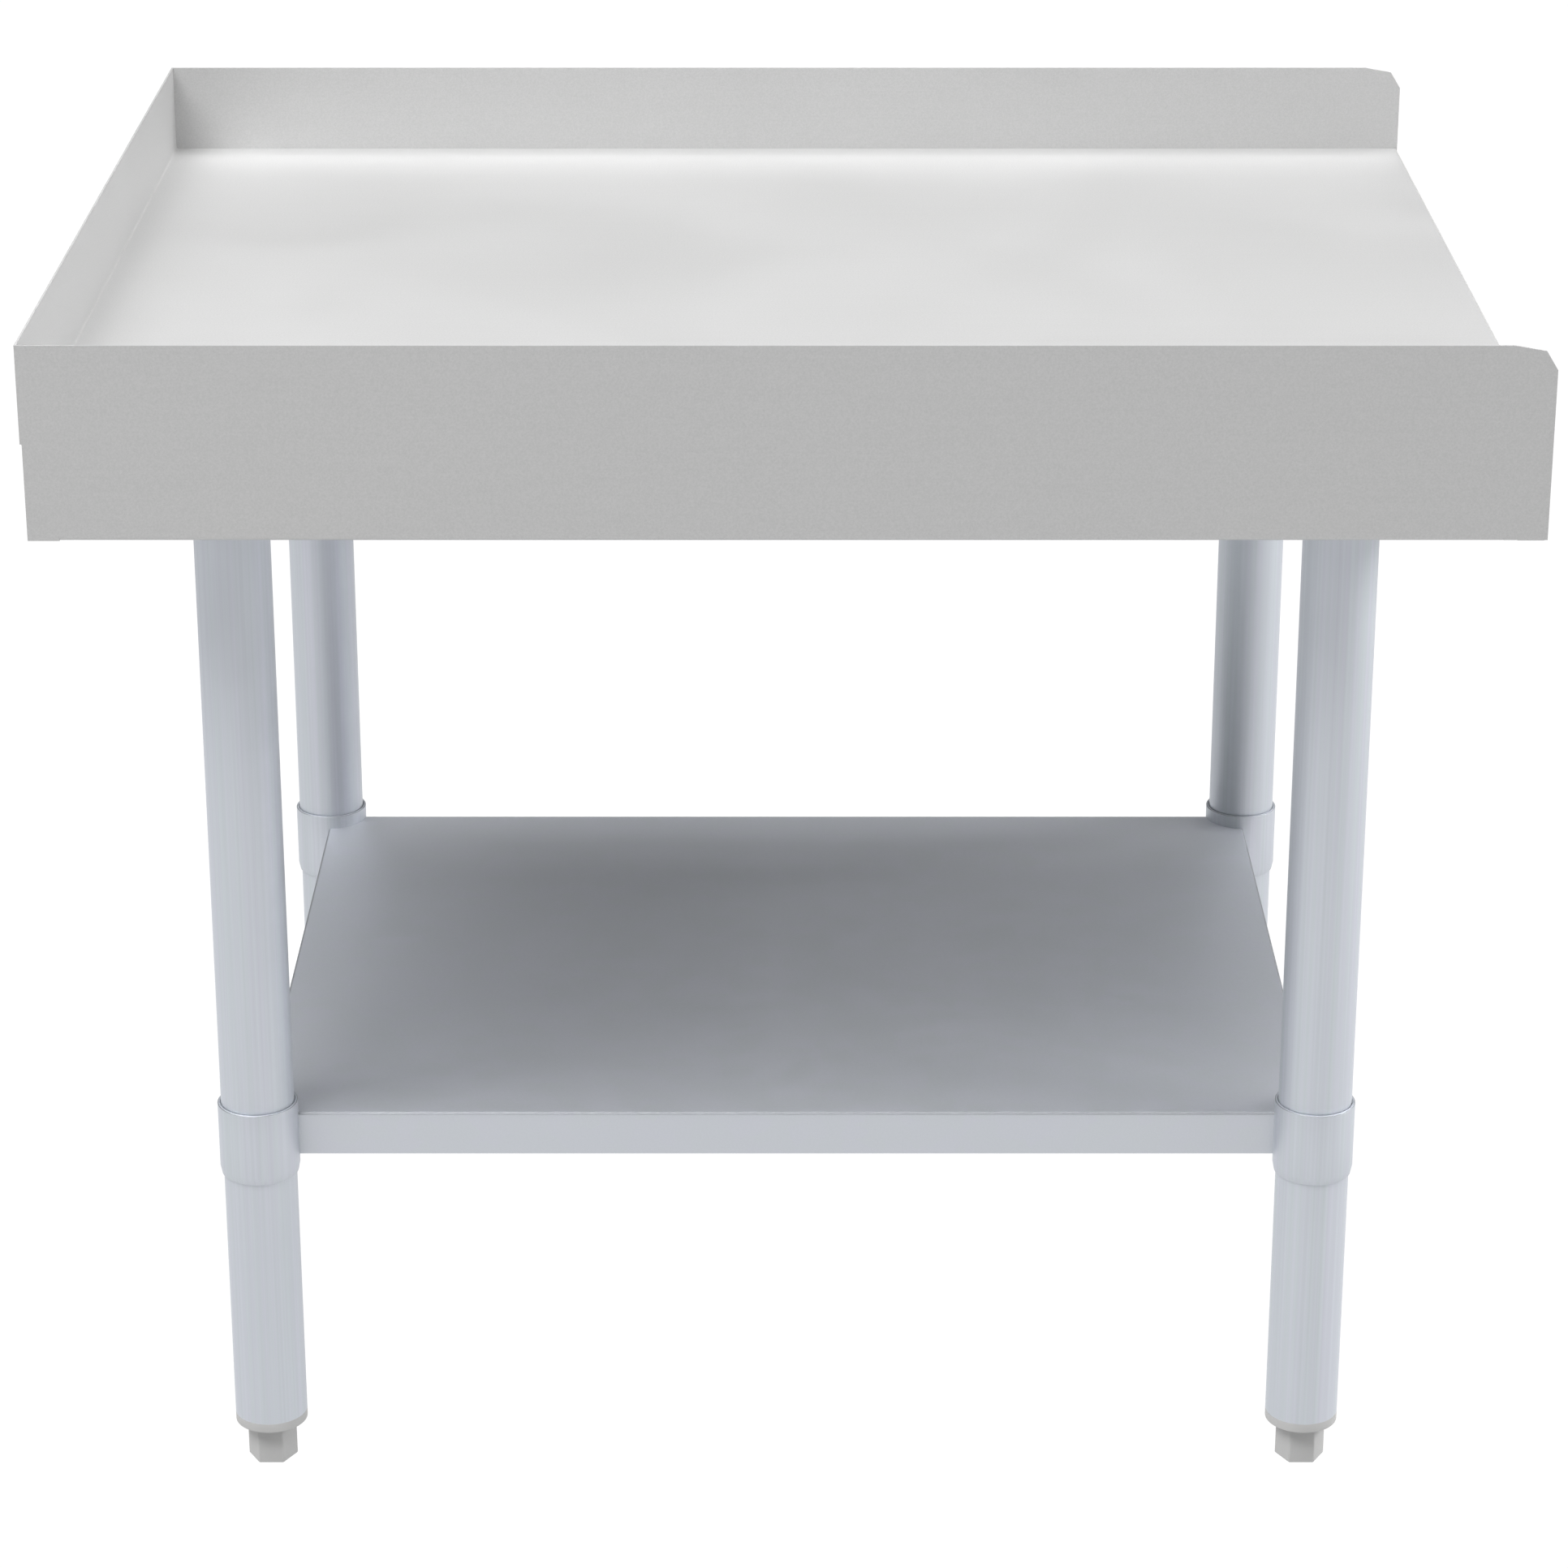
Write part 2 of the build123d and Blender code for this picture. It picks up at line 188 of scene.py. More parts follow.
def at_every_corner(piece, name, body, replaced):
    """Copy a piece made at the first leg to the others, and let each ride and replace."""
    pieces = {first: piece}
    for corner in corners[1:]:
        copy = piece.copy()
        copy.data = piece.data.copy()
        copy.data.transform(Matrix.Translation(leg_places[corner] - here))
        bpy.context.scene.collection.objects.link(copy)
        pieces[corner] = copy
    for corner, copy in pieces.items():
        copy.name = f"{name}_{corner}"
        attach(copy, body.format(corner=corner))
        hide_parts(f"{replaced}_{corner}")
    return list(pieces.values())


# %% [markdown]
# ## Foot
#
# The foot is a hexagonal nylon block that a spanner turns. Moulded plastic has
# no sharp edges: its corners are rounded by about a millimetre, and that round
# is what catches the light. A six-sided cylinder is the natural start. Its bore
# for the stud is cut by a Boolean, which keeps the round hole clean on a
# six-sided block, and a Bevel then rounds every edge at once.

# %% Hexagonal foot
foot_low, foot_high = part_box("hex_foot_" + first)
foot_height = foot_high.z - foot_low.z
foot_flats = foot_high.y - foot_low.y
stud_low, stud_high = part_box("foot_stud_" + first)
stud_radius = (stud_high.x - stud_low.x) / 2
bore_clearance = 0.05 * mm
bore_extra_depth = 0.2 * mm
edge_round = 0.9 * mm
hexagon_turn = (0, 0, math.radians(30))

bpy.ops.mesh.primitive_cylinder_add(
    vertices=6,
    radius=across_corners(foot_flats),
    depth=foot_height,
    location=here + Vector((0, 0, foot_low.z + foot_height / 2)),
    rotation=hexagon_turn,
)
foot = place_in_mesh(bpy.context.object)
bore_depth = foot_high.z - stud_low.z + bore_extra_depth
bpy.ops.mesh.primitive_cylinder_add(
    vertices=40,
    radius=stud_radius + bore_clearance,
    depth=2 * bore_depth,
    location=here + Vector((0, 0, foot_high.z)),
)
cut_out(foot, bpy.context.object)
apply_modifier(foot, "BEVEL", width=edge_round, segments=4, limit_method="ANGLE")
shade(foot)
count(foot)
feet = at_every_corner(foot, "moulded_foot", "foot_{corner}", "hex_foot")

# %% [markdown]
# ## Threaded stud
#
# The stud is an M10 screw with a pitch of 1.5 mm. When a foot is screwed down,
# a bright stretch of thread shows between the foot and the leg. One tooth of
# the thread is drawn as an outline, and the Screw modifier carries it round and
# up. The outline ends one pitch above its start, so each turn joins the next.
# The stud turns with its foot, so it rides on the foot's body.

# %% Threaded stud
pitch = 1.5 * mm
thread_depth = 0.61 * pitch
crest_flat = pitch / 8
root_flat = pitch / 4
flank = (pitch - crest_flat - root_flat) / 2
crest_clearance = 0.02 * mm
crest = stud_radius - crest_clearance
root = crest - thread_depth
spare_turns = 2
turns = math.ceil((stud_high.z - stud_low.z) / pitch) + spare_turns
tooth_start = stud_low.z - pitch

tooth = [
    (root, tooth_start),
    (root, tooth_start + root_flat),
    (crest, tooth_start + root_flat + flank),
    (crest, tooth_start + root_flat + flank + crest_flat),
    (root, stud_low.z),
]
stud = outline("stud", tooth)
bpy.ops.object.mode_set(mode="OBJECT")
bpy.context.scene.cursor.location = here
bpy.ops.object.origin_set(type="ORIGIN_CURSOR")
apply_modifier(
    stud, "SCREW", angle=math.tau, screw_offset=pitch, iterations=turns, steps=24,
    render_steps=24, use_merge_vertices=True, merge_threshold=0.01 * mm,
)
place_in_mesh(stud)
bpy.context.scene.cursor.location = (0, 0, 0)
edit(stud)
for height, upwards in ((stud_low.z, False), (stud_high.z, True)):
    bpy.ops.mesh.select_all(action="SELECT")
    bpy.ops.mesh.bisect(
        plane_co=(0, 0, height), plane_no=(0, 0, 1), use_fill=True,
        clear_outer=upwards, clear_inner=not upwards,
    )
close_edit()
shade(stud, 25)
count(stud)
studs = at_every_corner(stud, "threaded_stud", "foot_{corner}", "foot_stud")

# %% [markdown]
# ## Foot insert
#
# The insert is a grey plug pressed into the leg. Only its flange shows, as a
# thin grey band under the bright tube, and the flange's lower edge is rounded.
# The section is spun like the other round parts, with a few points along the
# round, and the pocket for the nut is cut from above with a six-sided block.

# %% Foot insert
insert_low, insert_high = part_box("foot_insert_" + first)
leg_low, leg_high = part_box("leg_" + first)
nut_low, nut_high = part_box("foot_nut_" + first)
leg_radius = (leg_high.x - leg_low.x) / 2
wall_and_fit = 1.25 * mm
plug_radius = leg_radius - wall_and_fit
stud_room = 0.3 * mm
bore_radius = stud_radius + stud_room
flange_round = 0.5 * mm
plug_lead = 1.5 * mm
nut_room = 0.05 * mm
round_points = 3


def quarter_round(radius, height, size, points):
    """Points of an outer lower corner rounded by size, from below to the side."""
    angles = [math.radians(90) * step / points for step in range(points + 1)]
    centre = (radius - size, height + size)
    return [(centre[0] + size * math.sin(a), centre[1] - size * math.cos(a)) for a in angles]


section = [(bore_radius, insert_low.z)]
section += quarter_round(leg_radius, insert_low.z, flange_round, round_points)
section += [
    (leg_radius, leg_low.z),
    (plug_radius, leg_low.z),
    (plug_radius, insert_high.z - plug_lead),
    (plug_radius - plug_lead, insert_high.z),
    (bore_radius, insert_high.z),
]
insert = turned("insert", section, steps=72)
nut_flats = nut_high.y - nut_low.y
bpy.ops.mesh.primitive_cylinder_add(
    vertices=6,
    radius=across_corners(nut_flats + 2 * nut_room),
    depth=2 * (nut_high.z - nut_low.z),
    location=here + Vector((0, 0, nut_high.z)),
    rotation=hexagon_turn,
)
cut_out(insert, bpy.context.object)
shade(insert)
count(insert)
inserts = at_every_corner(insert, "moulded_insert", "frame", "foot_insert")

# %% [markdown]
# ## Sleeve
#
# Each corner of the undershelf is welded to a short sleeve that slides on the
# leg. It is drawn from tube: the rim is rounded, the lower end is squeezed in
# towards the leg, and the bore leaves only a hair of room. The rounded rim is the
# part that shows, as a thin ring, so the section has its own points for both
# rounds and is spun with many steps.

# %% Sleeve
sleeve_low, sleeve_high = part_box("shelf_sleeve_" + first)
sleeve_radius = (sleeve_high.x - sleeve_low.x) / 2
leg_room = 0.1 * mm
sleeve_bore = leg_radius + leg_room
squeezed_wall = 0.9 * mm
squeezed_height = 4.5 * mm
rim_round = 0.6 * mm
rim_points = 5
rim_angles = [math.radians(90) * step / rim_points for step in range(rim_points + 1)]
rim_heights = [sleeve_high.z - rim_round + rim_round * math.sin(a) for a in rim_angles]
rim_steps = [rim_round * math.cos(a) for a in rim_angles]
outer_rim = [(sleeve_radius - rim_round + x, z) for x, z in zip(rim_steps, rim_heights)]
inner_rim = [(sleeve_bore + rim_round - x, z) for x, z in zip(rim_steps, rim_heights)]
section = [
    (sleeve_bore, sleeve_low.z),
    (sleeve_bore + squeezed_wall, sleeve_low.z),
    (sleeve_radius, sleeve_low.z + squeezed_height),
    *outer_rim,
    *reversed(inner_rim),
]
sleeve = turned("sleeve", section, steps=96)
shade(sleeve)
count(sleeve)
sleeves = at_every_corner(sleeve, "drawn_sleeve", "undershelf", "shelf_sleeve")

# %% [markdown]
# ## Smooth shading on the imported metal
#
# The sheet metal and the tubes keep their exact shape. Smooth shading makes the
# tubes and the folds look round, and the angle keeps the cut edges crisp. The
# operator acts on everything that is selected, so the visible nodes are selected
# together.

# %% Smooth the nodes
bpy.ops.object.select_all(action="DESELECT")
shown = [piece for piece in frame["nodes"].values() if not piece.hide_render]
for piece in shown:
    piece.select_set(True)
bpy.context.view_layer.objects.active = shown[0]
bpy.ops.object.shade_smooth_by_angle(angle=math.radians(30))
print("smoothed", len(shown), "nodes")

# %% [markdown]
# ## Finishes
#
# Metal has almost no colour of its own. What the eye reads as stainless or
# galvanised is how sharply the surface mirrors the room and what small pattern
# breaks that mirror: a fine rolled grain on the stainless, crystals of zinc on
# the galvanised sheet, and drawn lines along the tubes. Each of these patterns
# is a node group, built once and placed in each finish with its own values.

# %% Helpers for node trees


def new_group(name, inputs):
    """A node group with the given inputs and one output called Value."""
    group = bpy.data.node_groups.new(name, "ShaderNodeTree")
    for label, kind, value in inputs:
        socket = group.interface.new_socket(label, in_out="INPUT", socket_type=kind)
        if kind != "NodeSocketVector":
            socket.default_value = value
    group.interface.new_socket("Value", in_out="OUTPUT", socket_type="NodeSocketFloat")
    return group, group.nodes.new("NodeGroupInput"), group.nodes.new("NodeGroupOutput")


def remap(tree, source, low, high, new_low=0.0, new_high=1.0):
    """Stretch a value from one range to another, and keep it inside."""
    node = tree.nodes.new("ShaderNodeMapRange")
    node.inputs["From Min"].default_value = low
    node.inputs["From Max"].default_value = high
    node.inputs["To Min"].default_value = new_low
    node.inputs["To Max"].default_value = new_high
    tree.links.new(source, node.inputs["Value"])
    return node.outputs["Result"]


def place_group(tree, group, vector, **values):
    """Put a group into a material, feed it a place and set its own values."""
    node = tree.nodes.new("ShaderNodeGroup")
    node.node_tree = group
    tree.links.new(vector, node.inputs["Vector"])
    for label, value in values.items():
        node.inputs[label].default_value = value
    return node.outputs["Value"]


# %% [markdown]
# The grain is a noise whose place is multiplied before it is read. Equal numbers
# on all three axes give a sandy speckle, and a small number on one axis pulls the
# speckle out into lines along that axis, so one group makes both the speckle of
# the top and the drawn lines of the tubes.

# %% Grain group
grain, grain_in, grain_out = new_group(
    "grain",
    [
        ("Vector", "NodeSocketVector", None),
        ("Per metre", "NodeSocketVector", None),
        ("Contrast", "NodeSocketFloat", 1.0),
    ],
)
multiply = grain.nodes.new("ShaderNodeVectorMath")
multiply.operation = "MULTIPLY"
grain_noise = grain.nodes.new("ShaderNodeTexNoise")
grain_noise.inputs["Scale"].default_value = 1.0
grain_noise.inputs["Detail"].default_value = 3.0
grain_noise.inputs["Roughness"].default_value = 0.6
centred = grain.nodes.new("ShaderNodeMath")
centred.operation = "SUBTRACT"
centred.inputs[1].default_value = 0.5
stretched = grain.nodes.new("ShaderNodeMath")
stretched.operation = "MULTIPLY_ADD"
stretched.inputs[2].default_value = 0.5
stretched.use_clamp = True
grain.links.new(grain_in.outputs["Vector"], multiply.inputs[0])
grain.links.new(grain_in.outputs["Per metre"], multiply.inputs[1])
grain.links.new(multiply.outputs["Vector"], grain_noise.inputs["Vector"])
grain.links.new(grain_noise.outputs["Fac"], centred.inputs[0])
grain.links.new(centred.outputs["Value"], stretched.inputs[0])
grain.links.new(grain_in.outputs["Contrast"], stretched.inputs[1])
grain.links.new(stretched.outputs["Value"], grain_out.inputs["Value"])
print("grain", len(grain.nodes), "nodes")

# %% [markdown]
# Zinc freezes on the sheet in flat crystals called spangle. Each crystal mirrors
# a slightly different part of the room, so neighbours differ a little in tone. A
# Voronoi texture has just this look: each cell gets a random colour, and one of
# its channels is the crystal's tone. A little noise added to the place first
# keeps the crystal edges from being ruler-straight.

# %% Spangle group
spangle, spangle_in, spangle_out = new_group(
    "spangle",
    [("Vector", "NodeSocketVector", None), ("Crystals per metre", "NodeSocketFloat", 90.0)],
)
wander = spangle.nodes.new("ShaderNodeTexNoise")
wander.inputs["Scale"].default_value = 140.0
wander_size = spangle.nodes.new("ShaderNodeVectorMath")
wander_size.operation = "SCALE"
wander_size.inputs["Scale"].default_value = 6 * mm
wandered = spangle.nodes.new("ShaderNodeVectorMath")
wandered.operation = "ADD"
cells = spangle.nodes.new("ShaderNodeTexVoronoi")
cell_tone = spangle.nodes.new("ShaderNodeSeparateColor")
spangle.links.new(spangle_in.outputs["Vector"], wander.inputs["Vector"])
spangle.links.new(wander.outputs["Color"], wander_size.inputs[0])
spangle.links.new(wander_size.outputs["Vector"], wandered.inputs[0])
spangle.links.new(spangle_in.outputs["Vector"], wandered.inputs[1])
spangle.links.new(wandered.outputs["Vector"], cells.inputs["Vector"])
spangle.links.new(spangle_in.outputs["Crystals per metre"], cells.inputs["Scale"])
spangle.links.new(cells.outputs["Color"], cell_tone.inputs["Color"])
spangle.links.new(cell_tone.outputs["Red"], spangle_out.inputs["Value"])
print("spangle", len(spangle.nodes), "nodes")

# %% [markdown]
# Any sheet that was carried and wiped has broad soft patches where it is a touch
# duller or shinier. They are too faint to see as marks, and they keep a large
# flat face from looking like a flat colour.

# %% Handling group
handling, handling_in, handling_out = new_group(
    "handling",
    [("Vector", "NodeSocketVector", None), ("Patches per metre", "NodeSocketFloat", 7.0)],
)
patches = handling.nodes.new("ShaderNodeTexNoise")
patches.inputs["Detail"].default_value = 4.0
patches.inputs["Distortion"].default_value = 0.6
handling.links.new(handling_in.outputs["Vector"], patches.inputs["Vector"])
handling.links.new(handling_in.outputs["Patches per metre"], patches.inputs["Scale"])
handling.links.new(
    remap(handling, patches.outputs["Fac"], 0.3, 0.7), handling_out.inputs["Value"]
)

# %% [markdown]
# Every finish below is the same recipe. A pattern mixes two close tones into the
# base colour, a second value moves the roughness a little, and the finest grain
# goes through a Bump node, so that light breaks on it. What is the same all over,
# such as full metal, is set on the shader's own socket. On folds and rounded rims
# the base colour gets a painted shade, which dims the highlight that the softboxes
# put there. The shade follows the normal: a fold is where the surface faces neither
# up nor sideways, and for a normal of height z the value z squared times one minus
# z squared is largest half-way, where it is a quarter.

# %% Recipe for a finish


def finish(name, metallic, bump_strength, bump_depth):
    """A material with its shader, its object coordinates and an empty bump."""
    material = bpy.data.materials.new(name)
    material.use_nodes = True
    tree = material.node_tree
    shader = tree.nodes["Principled BSDF"]
    shader.inputs["Metallic"].default_value = metallic
    place = tree.nodes.new("ShaderNodeTexCoord").outputs["Object"]
    bump = tree.nodes.new("ShaderNodeBump")
    bump.inputs["Strength"].default_value = bump_strength
    bump.inputs["Distance"].default_value = bump_depth
    tree.links.new(bump.outputs["Normal"], shader.inputs["Normal"])
    return material, tree, shader, place, bump.inputs["Height"]


def two_tones(tree, value, dark, light):
    """Mix two colours by a value and return the colour socket."""
    mix = tree.nodes.new("ShaderNodeMix")
    mix.data_type = "RGBA"
    mix.inputs["A"].default_value = (*dark, 1)
    mix.inputs["B"].default_value = (*light, 1)
    tree.links.new(value, mix.inputs["Factor"])
    return mix.outputs["Result"]


def calculate(tree, operation, first_value, second_value):
    """One Math node on two values, each a number or a socket."""
    node = tree.nodes.new("ShaderNodeMath")
    node.operation = operation
    for socket, value in zip(node.inputs, (first_value, second_value)):
        if isinstance(value, float):
            socket.default_value = value
        else:
            tree.links.new(value, socket)
    return node.outputs["Value"]


def shade_by(tree, colour, value, darkest):
    """Darken a colour where a value is low, down to a share of itself."""
    mix = tree.nodes.new("ShaderNodeMix")
    mix.data_type = "RGBA"
    mix.blend_type = "MULTIPLY"
    mix.inputs["Factor"].default_value = 1.0
    tree.links.new(colour, mix.inputs["A"])
    tree.links.new(two_tones(tree, value, (darkest,) * 3, (1, 1, 1)), mix.inputs["B"])
    return mix.outputs["Result"]


def painted_fold_shade(tree, colour, darkest):
    """Painted shade: darken a colour where the surface turns from flat to upright, dimming its
    highlight.
    """
    normal = tree.nodes.new("ShaderNodeSeparateXYZ")
    geometry = tree.nodes.new("ShaderNodeNewGeometry")
    tree.links.new(geometry.outputs["Normal"], normal.inputs["Vector"])
    level = calculate(tree, "MULTIPLY", normal.outputs["Z"], normal.outputs["Z"])
    sloped = calculate(tree, "MULTIPLY", level, calculate(tree, "SUBTRACT", 1.0, level))
    halfway = 0.25
    # Painted shade: the colour is darkened where the normal is half-way up, to dim the fold
    # highlight.
    return shade_by(tree, colour, remap(tree, sloped, 0.0, halfway, 1.0, 0.0), darkest)


def vary_roughness(tree, shader, value, smoothest, roughest):
    """Let a value from 0 to 1 move the roughness between two limits."""
    tree.links.new(remap(tree, value, 0, 1, smoothest, roughest), shader.inputs["Roughness"])


# %% [markdown]
# ## Stainless top
#
# The top is satin stainless, as a worktop is sold: neutral grey, broad soft
# reflections and a fine sandy grain that only shows close by. A second, much
# fainter grain is pulled out along the table, because the sheet was rolled that
# way.

# %% Stainless
stainless, tree, shader, place, height = finish("satin_stainless", 1.0, 0.22, 0.02 * mm)
speckle = place_group(tree, grain, place, **{"Per metre": (1100,) * 3, "Contrast": 2.2})
rolled = place_group(tree, grain, place, **{"Per metre": (14, 900, 900), "Contrast": 1.6})
patch = place_group(tree, handling, place, **{"Patches per metre": 6.0})
colour = two_tones(tree, speckle, (0.491,) * 3, (0.555,) * 3)
tree.links.new(shade_by(tree, colour, rolled, 0.975), shader.inputs["Base Color"])
vary_roughness(tree, shader, patch, 0.58, 0.62)
tree.links.new(speckle, height)

# %% [markdown]
# ## Galvanised sheet
#
# The undershelf, the channels and the sockets are dipped or coated in zinc. It is
# duller and bluer than the stainless, with spangle of about a centimetre, so
# faint on a modern sheet that it reads as a soft cloudiness. Its folds get a
# painted shade that dims their highlight.

# %% Galvanised sheet
galvanised, tree, shader, place, height = finish("galvanised_sheet", 1.0, 0.15, 0.02 * mm)
crystal = place_group(tree, spangle, place, **{"Crystals per metre": 85.0})
speckle = place_group(tree, grain, place, **{"Per metre": (900,) * 3, "Contrast": 2.0})
patch = place_group(tree, handling, place, **{"Patches per metre": 9.0})
colour = two_tones(tree, crystal, (0.600, 0.624, 0.656), (0.608, 0.624, 0.670))
colour = shade_by(tree, colour, speckle, 0.965)
colour = shade_by(tree, colour, patch, 0.992)
# Painted shade on the folds, to dim their highlight.
tree.links.new(painted_fold_shade(tree, colour, 0.45), shader.inputs["Base Color"])
vary_roughness(tree, shader, crystal, 0.59, 0.61)
tree.links.new(speckle, height)

# %% [markdown]
# ## Galvanised tube
#
# The legs and the sleeves are welded tube, drawn through a die before they are
# coated. The die leaves fine lines along the tube, each a little warmer or
# cooler than the next. The grain group makes them from a noise that is more than
# a hundred times longer than it is wide. The sleeves' rounded rims get a painted
# shade that dims their highlight.

# %% Galvanised tube
tube_finish, tree, shader, place, height = finish("galvanised_tube", 1.0, 0.20, 0.02 * mm)
lines = place_group(tree, grain, place, **{"Per metre": (650, 650, 3), "Contrast": 2.6})
tints = place_group(tree, grain, place, **{"Per metre": (260, 260, 2), "Contrast": 2.6})
patch = place_group(tree, handling, place, **{"Patches per metre": 11.0})
colour = two_tones(tree, tints, (0.593, 0.631, 0.658), (0.612, 0.625, 0.682))
colour = shade_by(tree, colour, lines, 0.94)
# Painted shade on the rounded rims, to dim their highlight.
tree.links.new(painted_fold_shade(tree, colour, 0.50), shader.inputs["Base Color"])
vary_roughness(tree, shader, patch, 0.57, 0.62)
tree.links.new(lines, height)

# %% [markdown]
# ## Fasteners, screws and feet
#
# The threaded studs and the nuts are bright zinc plate, finer and shinier than
# the dipped parts. The socket screws are black oxide, which is nearly black and
# rubs to bare steel in small specks. The feet and inserts are grey nylon with
# the dull, slightly pebbled skin that a mould leaves.

# %% Zinc plate
zinc_plate, tree, shader, place, height = finish("zinc_plate", 1.0, 0.15, 0.01 * mm)
speckle = place_group(tree, grain, place, **{"Per metre": (1500,) * 3, "Contrast": 2.0})
patch = place_group(tree, handling, place, **{"Patches per metre": 60.0})
colour = two_tones(tree, patch, (0.60, 0.61, 0.62), (0.68, 0.68, 0.67))
tree.links.new(colour, shader.inputs["Base Color"])
vary_roughness(tree, shader, patch, 0.28, 0.38)
tree.links.new(speckle, height)

# %% Black oxide
black_oxide, tree, shader, place, height = finish("black_oxide", 1.0, 0.2, 0.01 * mm)
speckle = place_group(tree, grain, place, **{"Per metre": (1300,) * 3, "Contrast": 3.0})
rubbed = remap(tree, speckle, 0.8, 1.0)
colour = two_tones(tree, rubbed, (0.035, 0.035, 0.038), (0.16,) * 3)
tree.links.new(colour, shader.inputs["Base Color"])
vary_roughness(tree, shader, speckle, 0.34, 0.46)
tree.links.new(speckle, height)

# %% Grey nylon
nylon, tree, shader, place, height = finish("grey_nylon", 0.0, 0.25, 0.03 * mm)
pebble = place_group(tree, grain, place, **{"Per metre": (1400,) * 3, "Contrast": 1.8})
patch = place_group(tree, handling, place, **{"Patches per metre": 40.0})
colour = two_tones(tree, patch, (0.400, 0.400, 0.398), (0.430, 0.430, 0.428))
tree.links.new(shade_by(tree, colour, pebble, 0.96), shader.inputs["Base Color"])
vary_roughness(tree, shader, patch, 0.50, 0.60)
tree.links.new(pebble, height)
finishes = (stainless, galvanised, tube_finish, zinc_plate, black_oxide, nylon)
print("finishes", [material.name for material in finishes])

# %% [markdown]
# ## Give each part its finish
#
# The record names a slot for every part. A slot is matched to a finish, except
# that the legs and sleeves take the tube finish where the other galvanised parts
# take the sheet one.

# %% Assign the finishes
finish_of_slot = {
    "stainless": stainless,
    "galvanised": galvanised,
    "zinc_fasteners": zinc_plate,
    "black_steel": black_oxide,
    "foot_plastic": nylon,
}
slot_of = {part["node"]: part["material_slot"] for part in frame["record"]["subparts"]}


def dress(piece, material):
    """Give a piece one material."""
    piece.data.materials.clear()
    piece.data.materials.append(material)


leg_nodes = ["leg_" + corner for corner in corners]
for node, piece in frame["nodes"].items():
    dress(piece, tube_finish if node in leg_nodes else finish_of_slot[slot_of[node]])
finish_of_new = [(feet + inserts, nylon), (studs, zinc_plate), (sleeves, tube_finish)]
for pieces, material in finish_of_new:
    for piece in pieces:
        dress(piece, material)
new_count = sum(len(pieces) for pieces, material in finish_of_new)
print("dressed", len(frame["nodes"]), "nodes and", new_count, "new pieces")

# %% [markdown]
# ## Floor, room and lights
#
# Metal is shown best in a white room, where it mirrors nothing but soft white.
# The floor glows just enough to be pure white, and the upright faces, seen from
# above, mirror it. The camera sees the room as white too, but as a light the room
# glows only at its left and right sides. The softboxes give the metal its shape:
# the strongest is high at the front left, the next is at the right, and weaker
# ones hang overhead, in front, behind and at the sides. The floor lies a little
# lower than the feet can be screwed out, so that it never cuts through one, and
# the gap doesn't show because a glowing floor takes no shadow.

# %% Floor
bpy.ops.object.select_all(action="DESELECT")
foot_reach = 24.5 * mm
floor_width = 40
bpy.ops.mesh.primitive_plane_add(size=floor_width, location=(0, 0, -foot_reach))
floor = bpy.context.object
floor.name = "floor"
floor_paint = bpy.data.materials.new("white_floor")
floor_paint.use_nodes = True
paint = floor_paint.node_tree.nodes["Principled BSDF"]
paint.inputs["Base Color"].default_value = (0.02, 0.02, 0.02, 1)
paint.inputs["Roughness"].default_value = 0.9
paint.inputs["Specular IOR Level"].default_value = 0.0
paint.inputs["Emission Color"].default_value = (1, 1, 1, 1)
paint.inputs["Emission Strength"].default_value = 1.0
dress(floor, floor_paint)

# %% Room
room = bpy.data.worlds.new("white_room")
bpy.context.scene.world = room
room.use_nodes = True
tree = room.node_tree
backdrop = tree.nodes["Background"]
backdrop.inputs["Strength"].default_value = 1.0
backdrop.inputs["Color"].default_value = (1, 1, 1, 1)
fill = tree.nodes.new("ShaderNodeBackground")
direction = tree.nodes.new("ShaderNodeTexCoord").outputs["Generated"]
sideways = tree.nodes.new("ShaderNodeSeparateXYZ")
both_sides = tree.nodes.new("ShaderNodeMath")
both_sides.operation = "ABSOLUTE"
wall_glow = tree.nodes.new("ShaderNodeMath")
wall_glow.operation = "MULTIPLY"
wall_glow.inputs[1].default_value = 0.60
tree.links.new(direction, sideways.inputs["Vector"])
tree.links.new(sideways.outputs["X"], both_sides.inputs[0])
tree.links.new(both_sides.outputs["Value"], wall_glow.inputs[0])
tree.links.new(wall_glow.outputs["Value"], fill.inputs["Strength"])
ray = tree.nodes.new("ShaderNodeLightPath")
either = tree.nodes.new("ShaderNodeMixShader")
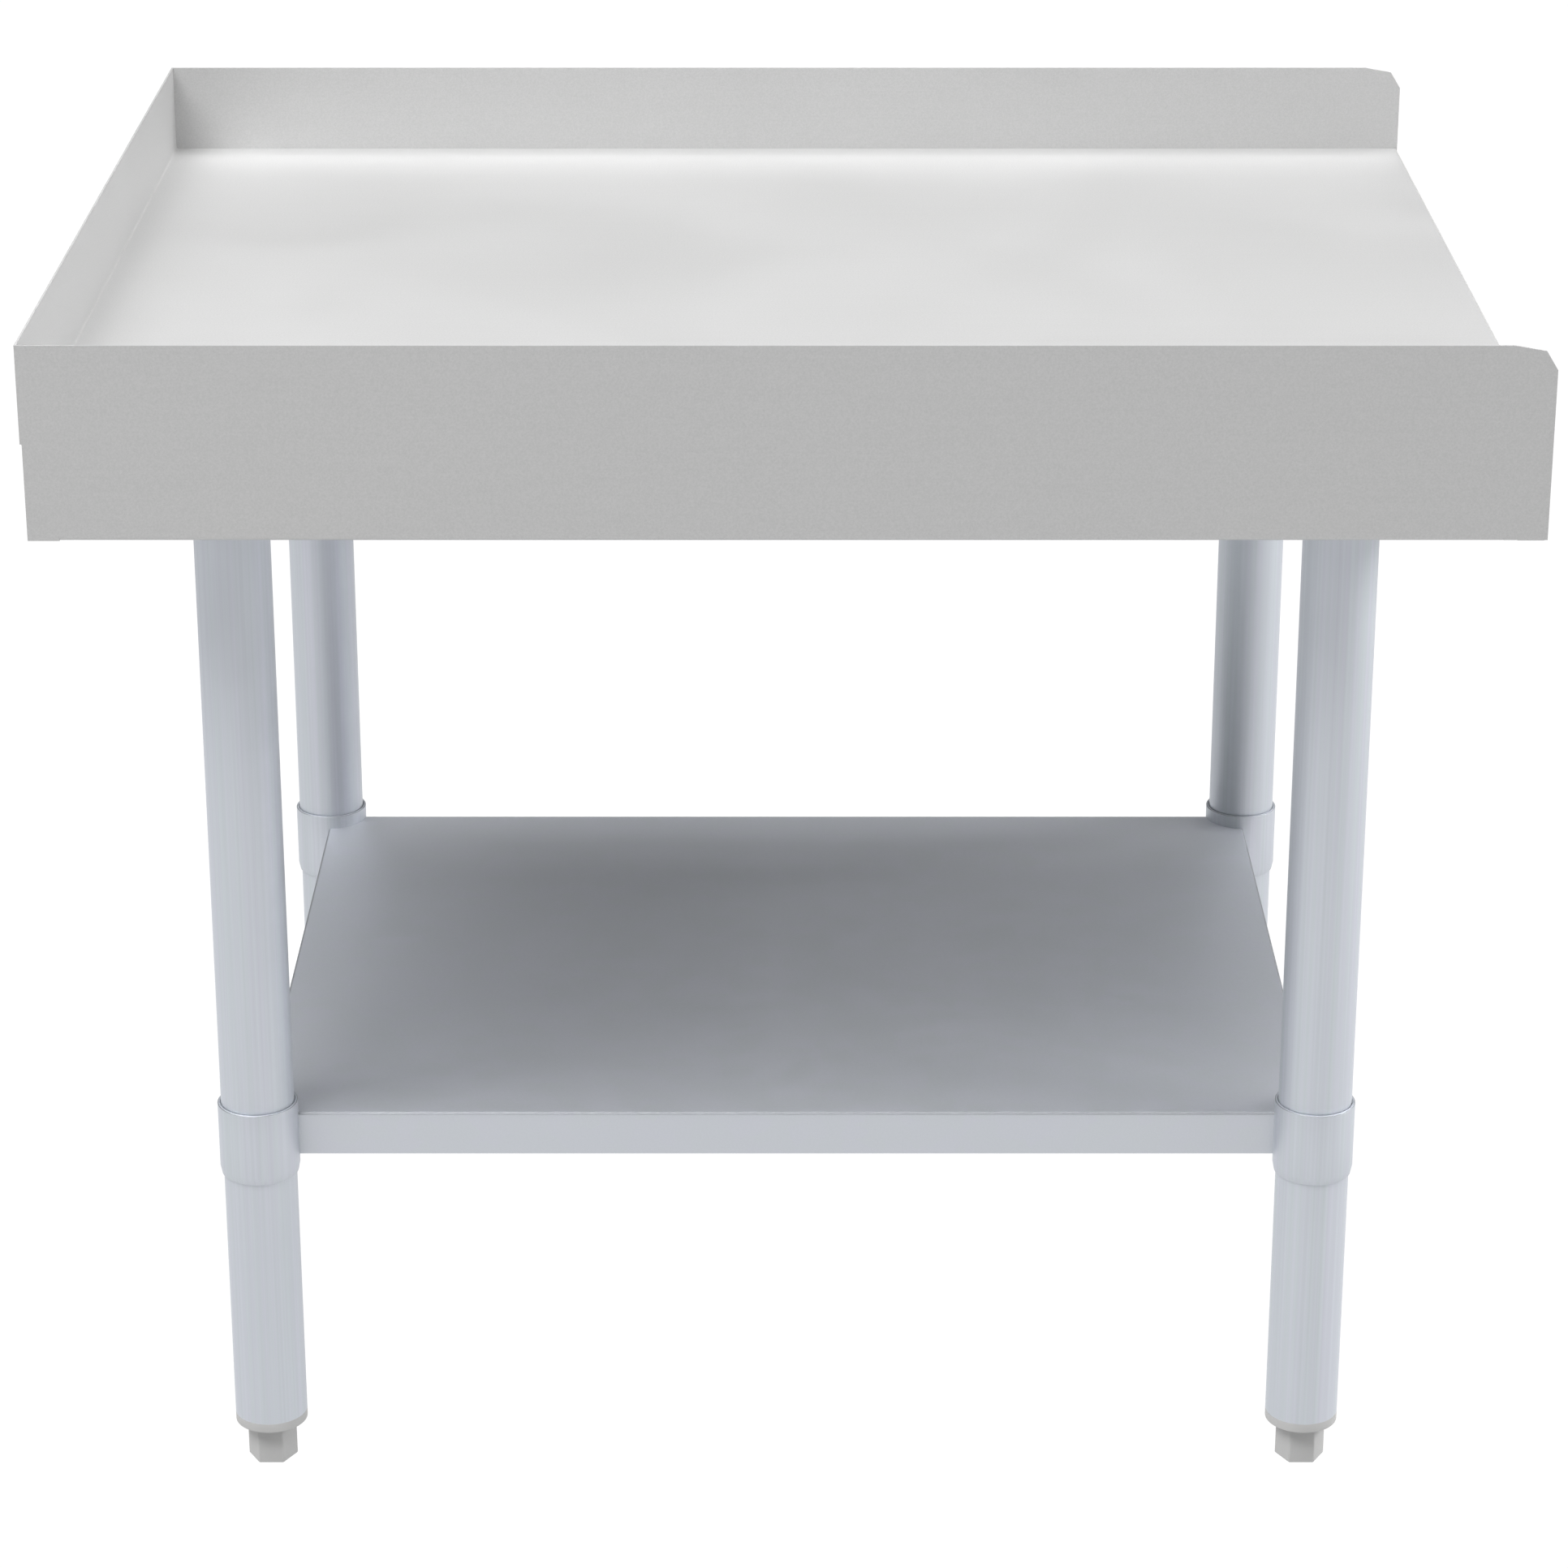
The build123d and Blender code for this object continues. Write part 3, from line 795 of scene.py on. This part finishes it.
tree.links.new(ray.outputs["Is Camera Ray"], either.inputs["Fac"])
tree.links.new(fill.outputs["Background"], either.inputs[1])
tree.links.new(backdrop.outputs["Background"], either.inputs[2])
tree.links.new(either.outputs["Shader"], tree.nodes["World Output"].inputs["Surface"])

# %% Softboxes
aim = Vector((0, 0, 0.5))


def softbox(name, azimuth, elevation, width, height, brightness, distance=4.0):
    """A rectangular light that faces the table. Azimuth 0 is in front and 90 at the right."""
    turn, rise = math.radians(azimuth), math.radians(elevation)
    away = Vector(
        (math.sin(turn) * math.cos(rise), -math.cos(turn) * math.cos(rise), math.sin(rise))
    )
    bpy.ops.object.light_add(type="AREA", location=aim + away * distance)
    lamp = bpy.context.object
    lamp.name = name
    lamp.rotation_euler = away.to_track_quat("Z", "Y").to_euler()
    lamp.data.shape = "RECTANGLE"
    lamp.data.size = width
    lamp.data.size_y = height
    lamp.data.energy = brightness * math.pi * width * height
    lamp.visible_camera = False


# Each row is a name, azimuth, elevation, width, height and brightness.
for row in (
    ("right_key", 90, 30, 3.0, 1.4, 10.6),
    ("right_high", 90, 55, 3.0, 1.6, 0.8),
    ("front_left_key", 315, 50, 2.5, 1.6, 12.8),
    ("front_high", 0, 62, 4.0, 1.6, 3.0),
    ("left_high", 270, 55, 3.0, 1.6, 1.1),
    ("back_low", 180, 24, 5.0, 1.2, 0.33),
    ("back_high", 180, 70, 4.0, 1.6, 2.0),
    ("back_right", 135, 50, 2.5, 1.6, 0.2),
):
    softbox(*row)
softbox("overhead", 0, 89.9, 3.0, 3.0, 3.4, distance=3.0)
bpy.context.scene.view_settings.view_transform = "Standard"

# %% [markdown]
# ## Camera
#
# A long lens from well back keeps the table's sides nearly parallel, and the
# camera stands a little above the top and looks down at it.

# %% Camera
camera_place = (-0.0013, -2.5038, 1.2954)
look_down = 21.2971
focal_length = 105.606
bpy.ops.object.camera_add(location=camera_place, rotation=(math.radians(90 - look_down), 0, 0))
camera = bpy.context.object
camera.data.lens = focal_length
camera.data.clip_end = 100
bpy.context.scene.camera = camera
